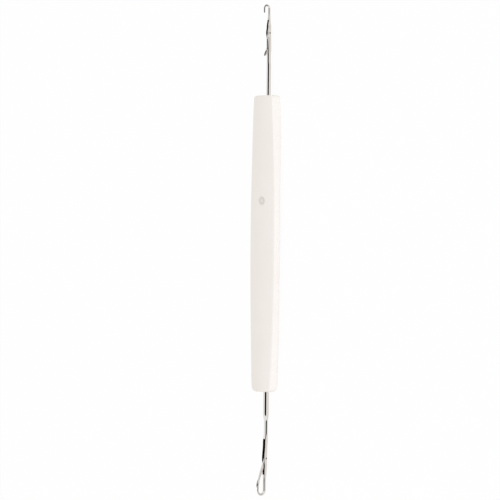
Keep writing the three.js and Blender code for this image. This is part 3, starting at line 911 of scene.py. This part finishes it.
# %% [markdown]
# Drawing and tumbling leave fine lines along a piece of steel. They are the same kind of noise,
# read at a place that is squeezed along the tool, which stretches each blot into a line. A Wave
# texture would give lines too, but evenly spaced ones, which steel doesn't have.

# %% Drawn lines


def drawn_lines():
    """Noise that is Stretch times as long along X as it is wide: the X of the place is divided by
    Stretch before the noise is read, so each blot becomes a line."""
    tree, given, out = new_group("drawn_lines", [("Scale", 3000), ("Stretch", 40)], ["Value"])
    split = node(tree, "ShaderNodeSeparateXYZ")
    shorter = node(tree, "ShaderNodeMath", operation="DIVIDE")
    joined = node(tree, "ShaderNodeCombineXYZ")
    noise = node(tree, "ShaderNodeTexNoise", inputs={"Detail": 2, "Roughness": 0.6})
    tree.links.new(given.outputs["Vector"], split.inputs[0])
    tree.links.new(split.outputs["X"], shorter.inputs[0])
    tree.links.new(given.outputs["Stretch"], shorter.inputs[1])
    tree.links.new(shorter.outputs[0], joined.inputs["X"])
    tree.links.new(split.outputs["Y"], joined.inputs["Y"])
    tree.links.new(split.outputs["Z"], joined.inputs["Z"])
    tree.links.new(joined.outputs[0], noise.inputs["Vector"])
    tree.links.new(given.outputs["Scale"], noise.inputs["Scale"])
    tree.links.new(noise.outputs[0], out.inputs["Value"])
    return tree


LINES = drawn_lines()
print("node group", LINES.name, "with", len(LINES.nodes), "nodes")

# %% [markdown]
# A material is a Principled shader with the constants that belong to it on its own sockets, and
# the groups feeding what varies: a little colour, some roughness and a shallow bump. The ranges
# are narrow, because the real surfaces are clean: the tone of the plastic drifts by a percent or
# two, and the steel differs mostly in how sharp its reflection is.

# %% Material helpers


def new_material(name, **sockets):
    """A material with a Principled shader whose constants are set by name."""
    material = bpy.data.materials.new(name)
    material.use_nodes = True
    shader = material.node_tree.nodes["Principled BSDF"]
    for socket, value in sockets.items():
        shader.inputs[socket.replace("_", " ")].default_value = value
    place = node(material.node_tree, "ShaderNodeTexCoord")
    return material, material.node_tree, shader, place.outputs["Object"]


def use_group(tree, group, vector, **inputs):
    """Places a group in a material with its own values, reading the given vector."""
    made = node(tree, "ShaderNodeGroup", node_tree=group)
    for socket, value in inputs.items():
        made.inputs[socket].default_value = value
    tree.links.new(vector, made.inputs["Vector"])
    return made.outputs["Value"]


# %% [markdown]
# The value that a group puts out is a plain share from 0 to 1. Three short helpers turn it into
# what a shader takes: a range of a float socket, a mix of two colours, and a height for a bump. The
# values that don't vary stay on the shader's own sockets, where they are easy to read and change.

# %% From a value to a socket


def between(tree, value, low, high, socket):
    """Sends low + value (high - low) into a float socket."""
    ramp = node(tree, "ShaderNodeMapRange", inputs={"To Min": low, "To Max": high})
    tree.links.new(value, ramp.inputs["Value"])
    tree.links.new(ramp.outputs[0], socket)


def tint(tree, value, dark, light, socket):
    """Sends a mix of two colours by the value into a colour socket."""
    blend = node(tree, "ShaderNodeMix", data_type="RGBA")
    blend.inputs[6].default_value = dark
    blend.inputs[7].default_value = light
    tree.links.new(value, blend.inputs[0])
    tree.links.new(blend.outputs[2], socket)


def emboss(tree, value, shader, strength, distance):
    """Sends the value as a height into the shader's normal through a Bump node."""
    bump = node(tree, "ShaderNodeBump", inputs={"Strength": strength, "Distance": distance * MM})
    tree.links.new(value, bump.inputs["Height"])
    tree.links.new(bump.outputs[0], shader.inputs["Normal"])


# %% [markdown]
# A piece is dressed by filling its material slots. What a material can't work out from its
# coordinates, such as where grey or stain lies, is kept as an attribute, one value for each point
# of the mesh. A painted image would need a UV map, which these pieces don't have.

# %% Dressing helpers


def dress(piece, *materials):
    """Gives a piece its materials in the order of its material slots."""
    piece.data.materials.clear()
    for material in materials:
        piece.data.materials.append(material)
    print(piece.name, "wears", [material.name for material in materials])


def mesh_points(piece):
    """The points of a piece's mesh in millimetres, one row each."""
    flat = np.zeros(len(piece.data.vertices) * 3)
    piece.data.vertices.foreach_get("co", flat)
    return flat.reshape(-1, 3) / MM


def set_attribute(piece, name, values):
    """Keeps one value for each point of the mesh, for a material to read."""
    piece.data.attributes.new(name, "FLOAT", "POINT").data.foreach_set("value", values)


# %% [markdown]
# The handle is moulded in a warm white plastic with half a gloss. One even white would do from
# afar, but the tone of the real one drifts and its gloss is uneven. The round mark is greyed with
# painted shade for its hollow. That grey is an attribute on the points of the mesh, so it lies in
# the mark and nowhere else.

# %% Warm white moulded plastic
# The grey of the round mark is painted shade for its hollow.
MARK_SHADE_EDGE = 0.45  # how far inside the rim of the mark the grey starts to fade


def moulded_plastic():
    """Warm white, half gloss. A broad mottle moves the tone and the gloss, and a fine one is the
    slight texture of the mould. An attribute greys the round mark with painted shade for its
    hollow."""
    material, tree, shader, place = new_material("moulded_plastic", IOR=1.5)
    broad = use_group(tree, MOTTLE, place, Scale=140, Contrast=0.9)
    fine = use_group(tree, MOTTLE, place, Scale=2600, Contrast=1.0)
    # Painted shade in the hollow of the round mark, read from the points, mixed in as a grey.
    mark_shade = node(tree, "ShaderNodeAttribute", attribute_name="mark_shade")
    greyed = node(tree, "ShaderNodeMix", data_type="RGBA")
    greyed.inputs[7].default_value = colour(224, 217, 210)
    tree.links.new(mark_shade.outputs["Fac"], greyed.inputs[0])
    tint(tree, broad, colour(242, 235, 228), colour(247, 241, 235), greyed.inputs[6])
    tree.links.new(greyed.outputs[2], shader.inputs["Base Color"])
    between(tree, broad, 0.36, 0.44, shader.inputs["Roughness"])
    emboss(tree, fine, shader, 0.25, 0.01)
    return material


def shade_in_mark(piece):
    """Painted shade for the hollow of the mark: a soft spot, half as grey in its middle as round
    it, that fades out over the mark's rim.
    """
    x, y, z = mesh_points(piece).T
    away = np.hypot(x - DIMPLE_X, y)
    middle = mix(0.5, 1, ease((away - 0.2) / 0.6))
    outer = 1 - ease((away - DIMPLE_RADIUS + MARK_SHADE_EDGE) / 0.6)
    set_attribute(piece, "mark_shade", middle * outer * (z > MIDDLE_PLANE))


shade_in_mark(HANDLE)
dress(HANDLE, moulded_plastic())

# %% [markdown]
# The steel is the same for all pieces, but each has its own wear. The needles are polished and
# plated, with faint lines along them. The latches are stamped, so their gloss is less even. The
# rivets are peened, so they are duller. The walls of the slots are raw from the saw, and their near
# black steel is painted shade for the dark inside an open slot.

# %% Steels
# The dark colour of the painted shade and painted dark reflections on the steel.
PAINTED_SHADE_COLOUR = colour(62, 59, 55)


def steel(name, dark, light, smooth_end, rough_end, lines):
    """Metal whose tone and roughness follow the drawn lines and a mottle. Where the attribute for
    painted shade is 1, the mottle lays painted shade, a dark colour, over it."""
    material, tree, shader, place = new_material(name, Metallic=1.0)
    along = use_group(tree, LINES, place, Scale=lines, Stretch=30)
    cloud = use_group(tree, MOTTLE, place, Scale=900, Contrast=1.2)
    shade_layer = node(tree, "ShaderNodeMix", data_type="RGBA")
    shade_layer.inputs[7].default_value = PAINTED_SHADE_COLOUR
    # Where the painted shade lies, read from the points.
    painted_shade = node(tree, "ShaderNodeAttribute", attribute_name="painted_shade")
    share = node(tree, "ShaderNodeMath", operation="MULTIPLY")
    between(tree, cloud, 0.8, 1.0, share.inputs[0])
    tree.links.new(painted_shade.outputs["Fac"], share.inputs[1])
    tree.links.new(share.outputs[0], shade_layer.inputs[0])
    tint(tree, along, dark, light, shade_layer.inputs[6])
    tree.links.new(shade_layer.outputs[2], shader.inputs["Base Color"])
    between(tree, cloud, smooth_end, rough_end, shader.inputs["Roughness"])
    emboss(tree, along, shader, 0.1, 0.002)
    return material


NEEDLE_STEEL = steel(
    "polished_steel", dark=colour(220, 218, 215), light=colour(234, 232, 229),
    smooth_end=0.04, rough_end=0.1, lines=5000,
)
LATCH_STEEL = steel(
    "stamped_steel", dark=colour(212, 210, 207), light=colour(226, 224, 221),
    smooth_end=0.1, rough_end=0.2, lines=4000,
)
RIVET_STEEL = steel(
    "peened_steel", dark=colour(120, 117, 113), light=colour(146, 143, 139),
    smooth_end=0.26, rough_end=0.4, lines=6000,
)
# Near black steel for the walls of the slots: painted shade for the dark inside them.
SLOT_SHADE_STEEL = steel(
    "slot_painted_shade", dark=colour(12, 11, 10), light=colour(26, 24, 22),
    smooth_end=0.5, rough_end=0.7, lines=7000,
)
print("steels", [m.name for m in (NEEDLE_STEEL, LATCH_STEEL, RIVET_STEEL, SLOT_SHADE_STEEL)])

# %% [markdown]
# The faces that the saw left get the black steel, which is painted shade for the dark inside the
# slot. They are found by where they lie, on the flat sides of the slot or on the arc of the saw,
# because the cut keeps no record of them. The hooks carry a painted dark reflection, and the spoons
# and the blades painted shade: each point has a value from 0 to 1, which its material lays over the
# steel as a dark colour. Painting it by hand would have to be done again after every change of a
# size.

# %% Dress the steel pieces
# Painted dark reflection on the point of the hook, and painted shade along the blade.
HOOK_PAINTED_SHADE = {"small": 0.75, "large": 0.3}  # on the point of the hook
BLADE_PAINTED_SHADE = {"small": 0.8, "large": 0.12}


def blacken_slot(piece, end):
    """Gives the second material, painted shade for the dark inside the slot, to the faces that the
    saw left: those on its two flat sides, and those whose distance from the saw's middle is its
    radius."""
    n = NEEDLES[end]
    radius, x, z = saw(n)
    count = len(piece.data.polygons)
    centre, normal = np.zeros(count * 3), np.zeros(count * 3)
    piece.data.polygons.foreach_get("center", centre)
    piece.data.polygons.foreach_get("normal", normal)
    centre, normal = centre.reshape(-1, 3) / MM, normal.reshape(-1, 3)
    if end == "large":
        centre, normal = centre * [-1, -1, 1], normal * [-1, -1, 1]
    side = n["latch"] / 2 + SIDE_GAP
    away = np.hypot(centre[:, 0] - x, centre[:, 2] - z)
    wall = (np.abs(np.abs(centre[:, 1]) - side) < 1e-3) & (np.abs(normal[:, 1]) > 0.99)
    floor = (np.abs(away - radius) < 5e-3) & (np.abs(centre[:, 1]) < side)
    index = np.where((wall & (away < radius)) | floor, 1, 0).astype(np.int32)
    piece.data.polygons.foreach_set("material_index", index)
    return int(index.sum())


def paint_shade_on_ends(end, group):
    """Painted shade on the steel. Round the hook it is a painted dark reflection that grows with
    the angle from the throat. On the latch it is painted shade that covers the side of the spoon
    that is turned away from the camera, and lies thinner along the blade."""
    n = NEEDLES[end]
    turned = -1 if end == "large" else 1
    x, _, z = mesh_points(group["needle"]).T
    x = x * turned
    cx, cz, _ = hook_centre(n)
    angle = np.degrees(np.arctan2(np.maximum(x - cx, 0), cz - z))
    shade_layer = HOOK_PAINTED_SHADE[end] * ease((angle - 45) / 60) * (x > cx - 4)
    set_attribute(group["needle"], "painted_shade", shade_layer)
    x, y, z = mesh_points(group["latch"]).T
    px, pz = pivot(n)
    away = np.hypot(x * turned - px, z - pz)
    spoon = ease((away - n["blade"] + 0.1) / 0.4) * ease((y - n["dark from"]) / 0.15)
    blade = BLADE_PAINTED_SHADE[end] * ease((away - 0.35 * n["blade"]) / 1.5)
    blade = blade * (1 - ease((away - n["blade"] + 0.3) / 0.4))
    set_attribute(group["latch"], "painted_shade", np.maximum(spoon, blade))


for end, group in STEEL.items():
    dress(group["needle"], NEEDLE_STEEL, SLOT_SHADE_STEEL)
    dress(group["latch"], LATCH_STEEL)
    dress(group["rivet"], RIVET_STEEL)
    paint_shade_on_ends(end, group)
    print(end, "slot faces", blacken_slot(group["needle"], end))

# %% [markdown]
# ## Light
#
# The photograph is of a pale thing on a white ground, with almost no shadow. So the light is a
# bright room all round, with one broad lamp low on the right, which makes the narrow side of the
# handle brighter than its wide face. Polished steel shows the room rather than itself: in an evenly
# white room it would vanish. A studio hangs a black board where it wants a dark line, and here the
# world has one overhead that only reflections see. It is short along the tool, so a straight shank
# shows it as a thin line and a taper turns it away.

# %% World
BOARD_ANGLE = 63.5  # degrees from the viewer's side up to the middle of the board
BOARD_HALF_ROUND = 36
BOARD_HALF_ALONG = 22
BOARD_FADE = 0.12  # share of its half size over which the board fades on each side of its edge
ROOM = 0.9


def bright_room():
    """A direction stands at the angle atan2(z, -y) round X, 0 towards the viewer's side and 90
    straight up, and at asin x along X. Both, measured from the board's middle in half sizes of the
    board, give a distance by the root of their squares, and reflections darken where it is under
    1. The camera sees white."""
    world = bpy.data.worlds.new("bright_room")
    bpy.context.scene.world = world
    world.use_nodes = True
    tree = world.node_tree
    tree.nodes.clear()
    where = node(tree, "ShaderNodeTexCoord")
    split = node(tree, "ShaderNodeSeparateXYZ")
    back = node(tree, "ShaderNodeMath", operation="MULTIPLY", inputs={1: -1.0})
    angle = node(tree, "ShaderNodeMath", operation="ARCTAN2")
    off = node(tree, "ShaderNodeMath", operation="SUBTRACT", inputs={1: math.radians(BOARD_ANGLE)})
    across = node(tree, "ShaderNodeMath", operation="DIVIDE")
    across.inputs[1].default_value = math.radians(BOARD_HALF_ROUND)
    lean = node(tree, "ShaderNodeMath", operation="ARCSINE")
    along = node(tree, "ShaderNodeMath", operation="DIVIDE")
    along.inputs[1].default_value = math.radians(BOARD_HALF_ALONG)
    pair = node(tree, "ShaderNodeCombineXYZ")
    away = node(tree, "ShaderNodeVectorMath", operation="LENGTH")
    edge = node(tree, "ShaderNodeMapRange", interpolation_type="SMOOTHSTEP")
    edge.inputs["From Min"].default_value = 1 - BOARD_FADE
    edge.inputs["From Max"].default_value = 1 + BOARD_FADE
    rays = node(tree, "ShaderNodeLightPath")
    glossy = node(tree, "ShaderNodeMix", inputs={2: ROOM})
    seen = node(tree, "ShaderNodeMix", inputs={3: 1.0})
    light = node(tree, "ShaderNodeBackground")
    light.inputs["Color"].default_value = (1, 1, 1, 1)
    out = node(tree, "ShaderNodeOutputWorld")
    tree.links.new(where.outputs["Generated"], split.inputs[0])
    tree.links.new(split.outputs["Y"], back.inputs[0])
    tree.links.new(split.outputs["Z"], angle.inputs[0])
    tree.links.new(back.outputs[0], angle.inputs[1])
    tree.links.new(angle.outputs[0], off.inputs[0])
    tree.links.new(off.outputs[0], across.inputs[0])
    tree.links.new(split.outputs["X"], lean.inputs[0])
    tree.links.new(lean.outputs[0], along.inputs[0])
    tree.links.new(across.outputs[0], pair.inputs["X"])
    tree.links.new(along.outputs[0], pair.inputs["Y"])
    tree.links.new(pair.outputs[0], away.inputs[0])
    tree.links.new(away.outputs["Value"], edge.inputs["Value"])
    tree.links.new(rays.outputs["Is Glossy Ray"], glossy.inputs[0])
    tree.links.new(edge.outputs[0], glossy.inputs[3])
    tree.links.new(glossy.outputs[0], seen.inputs[2])
    tree.links.new(rays.outputs["Is Camera Ray"], seen.inputs[0])
    tree.links.new(seen.outputs[0], light.inputs["Strength"])
    tree.links.new(light.outputs[0], out.inputs["Surface"])
    return world


print("world", bright_room().name)

# %% [markdown]
# The floor is a plain white sheet. It is a real surface that takes the tool's shadow, but most of
# what the camera sees of it is plain white, so that the shadow stays as faint as it is in the
# photograph. Reflections see it a little darker and warmer, which gives the steel its warm flank.

# %% Floor
FLOOR_HALF = 6000
FLOOR_WHITE = 0.95  # share of plain white in what the camera and reflections see of the floor
FLOOR_IN_REFLECTIONS = (0.92, 0.857, 0.818, 1)


def white_floor():
    """A square sheet under the tool, whose shader mixes a pale matt surface with plain white."""
    corners = np.array([(-1, -1, 0), (1, -1, 0), (1, 1, 0), (-1, 1, 0)]) * FLOOR_HALF
    mesh = bpy.data.meshes.new("floor")
    mesh.from_pydata((corners * MM).tolist(), [], [(0, 1, 2, 3)])
    floor = bpy.data.objects.new("floor", mesh)
    bpy.context.scene.collection.objects.link(floor)
    material, tree, shader, _ = new_material("white_sheet", Roughness=0.9)
    shader.inputs["Base Color"].default_value = colour(246, 246, 246)
    shader.inputs["Specular IOR Level"].default_value = 0.0
    rays = node(tree, "ShaderNodeLightPath")
    either = node(tree, "ShaderNodeMath", operation="MAXIMUM")
    share = node(tree, "ShaderNodeMath", operation="MULTIPLY", inputs={1: FLOOR_WHITE})
    tone = node(tree, "ShaderNodeMix", data_type="RGBA")
    tone.inputs[6].default_value = FLOOR_IN_REFLECTIONS
    tone.inputs[7].default_value = (1, 1, 1, 1)
    white = node(tree, "ShaderNodeEmission")
    tree.links.new(rays.outputs["Is Camera Ray"], tone.inputs[0])
    tree.links.new(tone.outputs[2], white.inputs["Color"])
    mixed = node(tree, "ShaderNodeMixShader")
    out = tree.nodes["Material Output"]
    tree.links.new(rays.outputs["Is Camera Ray"], either.inputs[0])
    tree.links.new(rays.outputs["Is Glossy Ray"], either.inputs[1])
    tree.links.new(either.outputs[0], share.inputs[0])
    tree.links.new(share.outputs[0], mixed.inputs[0])
    tree.links.new(shader.outputs[0], mixed.inputs[1])
    tree.links.new(white.outputs[0], mixed.inputs[2])
    tree.links.new(mixed.outputs[0], out.inputs["Surface"])
    dress(floor, material)
    return floor


print("floor", white_floor().name)

# %% [markdown]
# The only lamp stands low on the viewer's side. It lights the narrow side of the handle fully and
# grazes the wide face, which is what tells the two apart in an all white picture. It is broad, so
# that shadows stay soft, a little cool against the warm plastic, and hidden from reflections, so
# that the steel shows only the room and its board. A Point lamp would be simpler, but its shadows
# are sharp.

# %% Lamp on the right
COOL = (0.82, 0.9, 1.0)


def broad_lamp(name, azimuth, elevation, away, size, strength):
    """A square lamp at a distance in metres, turned to the tool: azimuth 0 is the viewer's side,
    and 90 the side of the small needle."""
    a, e = math.radians(azimuth), math.radians(elevation)
    toward = Vector((math.sin(a) * math.cos(e), -math.cos(a) * math.cos(e), math.sin(e)))
    data = bpy.data.lights.new(name, "AREA")
    data.shape = "SQUARE"
    data.size = size
    data.energy = strength
    data.color = COOL
    lamp = bpy.data.objects.new(name, data)
    bpy.context.scene.collection.objects.link(lamp)
    lamp.rotation_mode = "QUATERNION"
    lamp.rotation_quaternion = toward.to_track_quat("Z", "Y")
    lamp.location = toward * away
    lamp.visible_glossy = False
    return lamp


side_lamp = broad_lamp("side_lamp", azimuth=0, elevation=9, away=1.6, size=0.4, strength=6.5)
print("lamp", side_lamp.name, "of", side_lamp.data.energy, "watts")

# %% [markdown]
# Last come the settings that keep colours as they are written.

# %% Finish
view = bpy.context.scene.view_settings
view.view_transform = "Standard"
